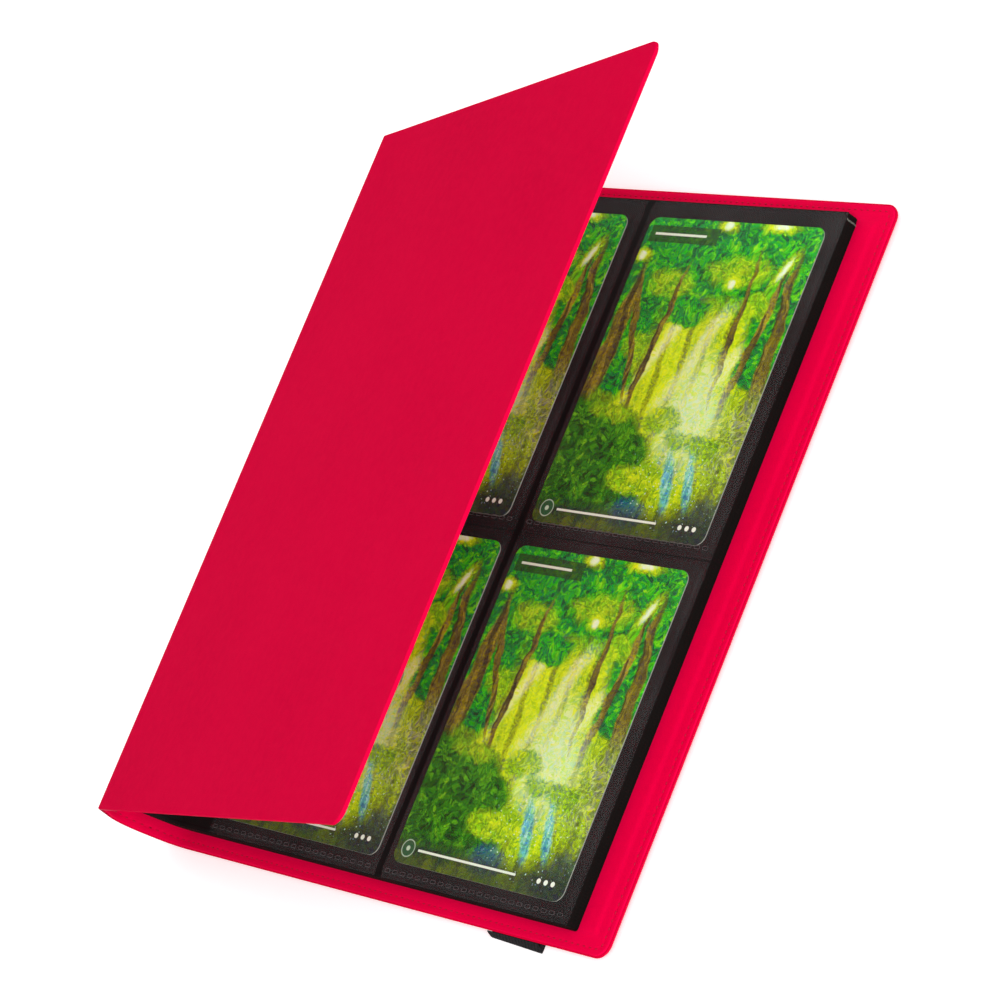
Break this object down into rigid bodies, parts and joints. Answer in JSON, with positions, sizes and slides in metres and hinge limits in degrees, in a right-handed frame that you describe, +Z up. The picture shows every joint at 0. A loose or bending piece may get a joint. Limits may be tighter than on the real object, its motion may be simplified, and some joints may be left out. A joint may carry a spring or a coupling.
{
  "type": "trading card binder",
  "caption": "Soft-cover card binder standing open: two hinged covers, a folding spine, a bound block of black pocket leaves, cards in the top leaf and an elastic closing band.",
  "frame": {"origin": "on the resting surface, under the middle of the whole object's box at rest", "axes": "+X from the spine to the fore-edge, +Y up the page, +Z up from the back cover"},
  "size_m": [0.1812, 0.2042, 0.0871],
  "materials": {
    "cover_skin": "red leatherette, fine matt grain",
    "cover_lining": "red leatherette lining, smoother than the outside",
    "cover_board": "grey board",
    "interlining": "white fleece",
    "page_film": "black polypropylene film, finely embossed",
    "page_binding": "black polypropylene film, welded",
    "pocket_film": "clear polypropylene film, slightly hazy",
    "card_print": "printed playing-card stock, satin varnish",
    "elastic": "black woven elastic, matt"
  },
  "bodies": {
    "back_cover": {"back_cover_skin": "cover_skin", "back_cover_board": "cover_board", "back_cover_lining": "cover_lining", "page_binding": "page_binding", "band_tab_top": "elastic", "band_tab_bottom": "elastic"},
    "spine_lower": {"spine_lower_skin": "cover_skin", "spine_lower_interlining": "interlining", "spine_lower_lining": "cover_lining"},
    "spine_upper": {"spine_upper_skin": "cover_skin", "spine_upper_interlining": "interlining", "spine_upper_lining": "cover_lining"},
    "front_cover": {"front_cover_skin": "cover_skin", "front_cover_board": "cover_board", "front_cover_lining": "cover_lining"},
    "band": {"elastic_band": "elastic"},
    "leaves_15_20": {"leaf_15": "page_film", "leaf_16": "page_film", "leaf_17": "page_film", "leaf_18": "page_film", "leaf_19": "page_film", "leaf_20": "page_film"},
    "leaves_09_14": {"leaf_09": "page_film", "leaf_10": "page_film", "leaf_11": "page_film", "leaf_12": "page_film", "leaf_13": "page_film", "leaf_14": "page_film"},
    "leaves_04_08": {"leaf_04": "page_film", "leaf_05": "page_film", "leaf_06": "page_film", "leaf_07": "page_film", "leaf_08": "page_film"},
    "leaf_03": {"leaf_03": "page_film"},
    "leaf_02": {"leaf_02": "page_film"},
    "leaf_01": {"leaf_01": "page_film", "pocket_film_top_right": "pocket_film", "pocket_film_bottom_right": "pocket_film", "pocket_film_top_left": "pocket_film", "pocket_film_bottom_left": "pocket_film"},
    "card_top_right": {"card_top_right": "card_print"},
    "card_bottom_right": {"card_bottom_right": "card_print"},
    "card_top_left": {"card_top_left": "card_print"},
    "card_bottom_left": {"card_bottom_left": "card_print"}
  },
  "joints": [
    {"name": "spine_base_fold", "type": "hinge", "parent": "back_cover", "child": "spine_lower", "pos_m": [-0.07892, 0, 0.0023], "axis": [0, -1, 0], "range_deg": [-7.3, 45.1]},
    {"name": "spine_middle_fold", "type": "hinge", "parent": "spine_lower", "child": "spine_upper", "pos_m": [-0.0903, 0, 0.01368], "axis": [0, -1, 0], "range_deg": [-12.1, 75.1]},
    {"name": "front_cover_fold", "type": "hinge", "parent": "spine_upper", "child": "front_cover", "pos_m": [-0.08255, 0, 0.02711], "axis": [0, -1, 0], "range_deg": [-6.4, 40]},
    {"name": "band_pull", "type": "slide", "parent": "back_cover", "child": "band", "axis": [0, 0, -1], "range_m": [0, 0.025], "stiffness_N_per_m": 120, "springref_m": -0.003},
    {"name": "leaves_15_20_turn", "type": "hinge", "parent": "back_cover", "child": "leaves_15_20", "pos_m": [-0.07362, 0, 0.00693], "axis": [0, -1, 0], "range_deg": [0, 22]},
    {"name": "leaves_09_14_turn", "type": "hinge", "parent": "leaves_15_20", "child": "leaves_09_14", "pos_m": [-0.07362, 0, 0.00693], "axis": [0, -1, 0], "range_deg": [0, 22]},
    {"name": "leaves_04_08_turn", "type": "hinge", "parent": "leaves_09_14", "child": "leaves_04_08", "pos_m": [-0.07362, 0, 0.00693], "axis": [0, -1, 0], "range_deg": [0, 22]},
    {"name": "leaf_03_turn", "type": "hinge", "parent": "leaves_04_08", "child": "leaf_03", "pos_m": [-0.07362, 0, 0.00693], "axis": [0, -1, 0], "range_deg": [0, 22]},
    {"name": "leaf_02_turn", "type": "hinge", "parent": "leaf_03", "child": "leaf_02", "pos_m": [-0.07362, 0, 0.00693], "axis": [0, -1, 0], "range_deg": [0, 22]},
    {"name": "leaf_01_turn", "type": "hinge", "parent": "leaf_02", "child": "leaf_01", "pos_m": [-0.07362, 0, 0.00693], "axis": [0, -1, 0], "range_deg": [0, 22]},
    {"name": "card_top_right_slide", "type": "slide", "parent": "leaf_01", "child": "card_top_right", "axis": [-1, 0, 0], "range_m": [-0.0014, 0.004]},
    {"name": "card_bottom_right_slide", "type": "slide", "parent": "leaf_01", "child": "card_bottom_right", "axis": [-1, 0, 0], "range_m": [-0.0014, 0.004]},
    {"name": "card_top_left_slide", "type": "slide", "parent": "leaf_01", "child": "card_top_left", "axis": [-1, 0, 0], "range_m": [-0.0024, 0.004]},
    {"name": "card_bottom_left_slide", "type": "slide", "parent": "leaf_01", "child": "card_bottom_left", "axis": [-1, 0, 0], "range_m": [0, 0.004]}
  ],
  "couplings": [
    {"joint": "spine_middle_fold", "follows": "front_cover_fold", "ratio": 1.875},
    {"joint": "spine_base_fold", "follows": "front_cover_fold", "ratio": 1.125}
  ]
}
